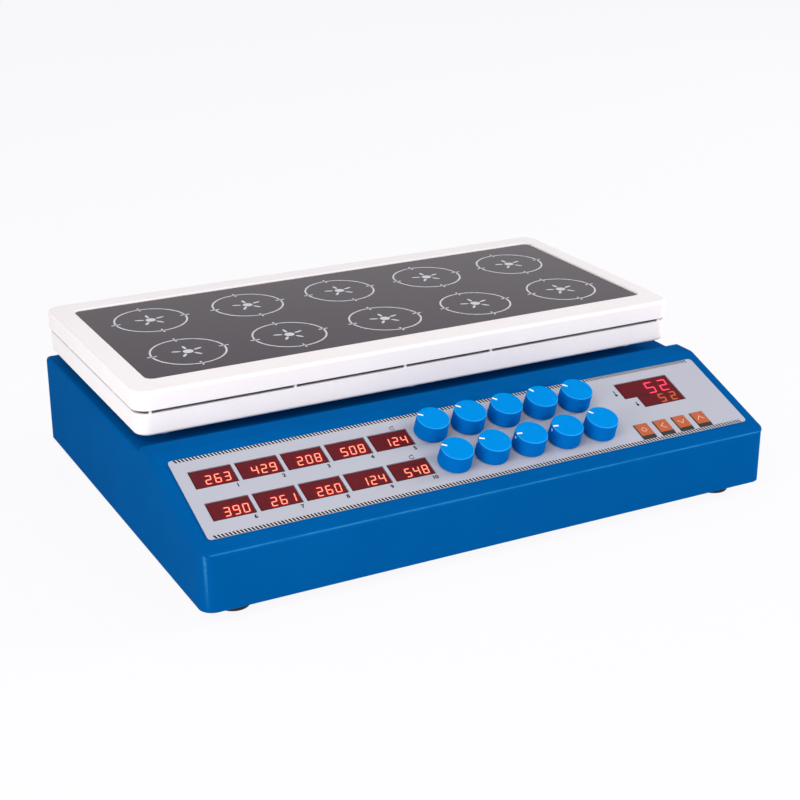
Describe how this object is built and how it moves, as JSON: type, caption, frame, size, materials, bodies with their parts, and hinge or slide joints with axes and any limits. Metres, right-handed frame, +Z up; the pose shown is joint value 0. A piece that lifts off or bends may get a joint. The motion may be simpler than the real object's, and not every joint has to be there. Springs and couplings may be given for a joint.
{
  "type": "hotplate stirrer",
  "caption": "Bench hotplate stirrer: heated glass top over rows of magnet rotors, on a sloping-front housing with speed knobs and displays, a temperature display and keys.",
  "frame": {"origin": "on the bench, under the middle of the whole machine's box", "axes": "+X along the long side to the operator's right, +Y from the panel to the rear wall, +Z up"},
  "size_m": [0.4666, 0.35, 0.1236],
  "materials": {
    "blue_paint": "satin paint on folded steel",
    "zinc_sheet": "zinc-plated",
    "foot_rubber": "matt",
    "white_enamel": "satin white",
    "dark_glass": "polished, printed",
    "silver_film": "fine satin film",
    "red_window": "clear red window",
    "blue_plastic": "satin moulded",
    "orange_plastic": "satin moulded",
    "cast_aluminium": "cast",
    "board_laminate": "solder mask",
    "black_plastic": "moulded",
    "magnet_nickel": "nickel-plated"
  },
  "bodies": {
    "housing": {"housing_shell": "blue_paint", "base_plate": "zinc_sheet", "foot_front_left": "foot_rubber", "foot_front_right": "foot_rubber", "foot_rear_left": "foot_rubber", "foot_rear_right": "foot_rubber", "lower_tray": "white_enamel", "upper_frame": "white_enamel", "glass_plate": "dark_glass", "heater_plate": "cast_aluminium", "motor_carrier": "zinc_sheet", "control_panel": "silver_film", "temperature_display": "red_window", "control_board": "board_laminate", "power_module": "black_plastic", "speed_display_01": "red_window", "speed_display_02": "red_window", "speed_display_03": "red_window", "speed_display_04": "red_window", "speed_display_05": "red_window", "speed_display_06": "red_window", "speed_display_07": "red_window", "speed_display_08": "red_window", "speed_display_09": "red_window", "speed_display_10": "red_window", "stir_motor_01": "zinc_sheet", "stir_motor_02": "zinc_sheet", "stir_motor_03": "zinc_sheet", "stir_motor_04": "zinc_sheet", "stir_motor_05": "zinc_sheet", "stir_motor_06": "zinc_sheet", "stir_motor_07": "zinc_sheet", "stir_motor_08": "zinc_sheet", "stir_motor_09": "zinc_sheet", "stir_motor_10": "zinc_sheet"},
    "knob_01": {"speed_knob_01": "blue_plastic"},
    "knob_02": {"speed_knob_02": "blue_plastic"},
    "knob_03": {"speed_knob_03": "blue_plastic"},
    "knob_04": {"speed_knob_04": "blue_plastic"},
    "knob_05": {"speed_knob_05": "blue_plastic"},
    "knob_06": {"speed_knob_06": "blue_plastic"},
    "knob_07": {"speed_knob_07": "blue_plastic"},
    "knob_08": {"speed_knob_08": "blue_plastic"},
    "knob_09": {"speed_knob_09": "blue_plastic"},
    "knob_10": {"speed_knob_10": "blue_plastic"},
    "rotor_01": {"magnet_rotor_01": "magnet_nickel"},
    "rotor_02": {"magnet_rotor_02": "magnet_nickel"},
    "rotor_03": {"magnet_rotor_03": "magnet_nickel"},
    "rotor_04": {"magnet_rotor_04": "magnet_nickel"},
    "rotor_05": {"magnet_rotor_05": "magnet_nickel"},
    "rotor_06": {"magnet_rotor_06": "magnet_nickel"},
    "rotor_07": {"magnet_rotor_07": "magnet_nickel"},
    "rotor_08": {"magnet_rotor_08": "magnet_nickel"},
    "rotor_09": {"magnet_rotor_09": "magnet_nickel"},
    "rotor_10": {"magnet_rotor_10": "magnet_nickel"},
    "key_mode": {"key_mode": "orange_plastic"},
    "key_shift": {"key_shift": "orange_plastic"},
    "key_down": {"key_down": "orange_plastic"},
    "key_up": {"key_up": "orange_plastic"},
    "rocker": {"power_rocker": "black_plastic"}
  },
  "joints": [
    {"name": "knob_01_turn", "type": "hinge", "parent": "housing", "child": "knob_01", "pos_m": [-0.0282, -0.10935, 0.077], "axis": [0, -0.3416, 0.9399], "range_deg": [-185, 85]},
    {"name": "knob_02_turn", "type": "hinge", "parent": "housing", "child": "knob_02", "pos_m": [0.003, -0.10935, 0.077], "axis": [0, -0.3416, 0.9399], "range_deg": [-174, 96]},
    {"name": "knob_03_turn", "type": "hinge", "parent": "housing", "child": "knob_03", "pos_m": [0.0342, -0.10935, 0.077], "axis": [0, -0.3416, 0.9399], "range_deg": [-177, 93]},
    {"name": "knob_04_turn", "type": "hinge", "parent": "housing", "child": "knob_04", "pos_m": [0.0654, -0.10935, 0.077], "axis": [0, -0.3416, 0.9399], "range_deg": [-164, 106]},
    {"name": "knob_05_turn", "type": "hinge", "parent": "housing", "child": "knob_05", "pos_m": [0.0966, -0.10935, 0.077], "axis": [0, -0.3416, 0.9399], "range_deg": [-185, 85]},
    {"name": "knob_06_turn", "type": "hinge", "parent": "housing", "child": "knob_06", "pos_m": [-0.02642, -0.14197, 0.06515], "axis": [0, -0.3416, 0.9399], "range_deg": [-186, 84]},
    {"name": "knob_07_turn", "type": "hinge", "parent": "housing", "child": "knob_07", "pos_m": [0.00479, -0.14197, 0.06515], "axis": [0, -0.3416, 0.9399], "range_deg": [-193, 77]},
    {"name": "knob_08_turn", "type": "hinge", "parent": "housing", "child": "knob_08", "pos_m": [0.03599, -0.14197, 0.06515], "axis": [0, -0.3416, 0.9399], "range_deg": [-203, 67]},
    {"name": "knob_09_turn", "type": "hinge", "parent": "housing", "child": "knob_09", "pos_m": [0.06718, -0.14197, 0.06515], "axis": [0, -0.3416, 0.9399], "range_deg": [-206, 64]},
    {"name": "knob_10_turn", "type": "hinge", "parent": "housing", "child": "knob_10", "pos_m": [0.09839, -0.14197, 0.06515], "axis": [0, -0.3416, 0.9399], "range_deg": [-175, 95]},
    {"name": "key_mode_press", "type": "slide", "parent": "housing", "child": "key_mode", "axis": [0, 0.3416, -0.9399], "range_m": [0, 0.00025], "stiffness_N_per_m": 600, "springref_m": -0.0005},
    {"name": "key_shift_press", "type": "slide", "parent": "housing", "child": "key_shift", "axis": [0, 0.3416, -0.9399], "range_m": [0, 0.00025], "stiffness_N_per_m": 600, "springref_m": -0.0005},
    {"name": "key_down_press", "type": "slide", "parent": "housing", "child": "key_down", "axis": [0, 0.3416, -0.9399], "range_m": [0, 0.00025], "stiffness_N_per_m": 600, "springref_m": -0.0005},
    {"name": "key_up_press", "type": "slide", "parent": "housing", "child": "key_up", "axis": [0, 0.3416, -0.9399], "range_m": [0, 0.00025], "stiffness_N_per_m": 600, "springref_m": -0.0005},
    {"name": "rotor_01_spin", "type": "hinge", "parent": "housing", "child": "rotor_01", "pos_m": [-0.1653, 0.0181, 0.1], "axis": [0, 0, 1], "continuous": true},
    {"name": "rotor_02_spin", "type": "hinge", "parent": "housing", "child": "rotor_02", "pos_m": [-0.0823, 0.0181, 0.1], "axis": [0, 0, 1], "continuous": true},
    {"name": "rotor_03_spin", "type": "hinge", "parent": "housing", "child": "rotor_03", "pos_m": [0.0007, 0.0181, 0.1], "axis": [0, 0, 1], "continuous": true},
    {"name": "rotor_04_spin", "type": "hinge", "parent": "housing", "child": "rotor_04", "pos_m": [0.0837, 0.0181, 0.1], "axis": [0, 0, 1], "continuous": true},
    {"name": "rotor_05_spin", "type": "hinge", "parent": "housing", "child": "rotor_05", "pos_m": [0.1667, 0.0181, 0.1], "axis": [0, 0, 1], "continuous": true},
    {"name": "rotor_06_spin", "type": "hinge", "parent": "housing", "child": "rotor_06", "pos_m": [-0.1653, 0.1011, 0.1], "axis": [0, 0, 1], "continuous": true},
    {"name": "rotor_07_spin", "type": "hinge", "parent": "housing", "child": "rotor_07", "pos_m": [-0.0823, 0.1011, 0.1], "axis": [0, 0, 1], "continuous": true},
    {"name": "rotor_08_spin", "type": "hinge", "parent": "housing", "child": "rotor_08", "pos_m": [0.0007, 0.1011, 0.1], "axis": [0, 0, 1], "continuous": true},
    {"name": "rotor_09_spin", "type": "hinge", "parent": "housing", "child": "rotor_09", "pos_m": [0.0837, 0.1011, 0.1], "axis": [0, 0, 1], "continuous": true},
    {"name": "rotor_10_spin", "type": "hinge", "parent": "housing", "child": "rotor_10", "pos_m": [0.1667, 0.1011, 0.1], "axis": [0, 0, 1], "continuous": true},
    {"name": "rocker_tilt", "type": "hinge", "parent": "housing", "child": "rocker", "pos_m": [-0.17066, 0.1716, 0.046], "axis": [0, 0, 1], "range_deg": [-20, 0]}
  ]
}
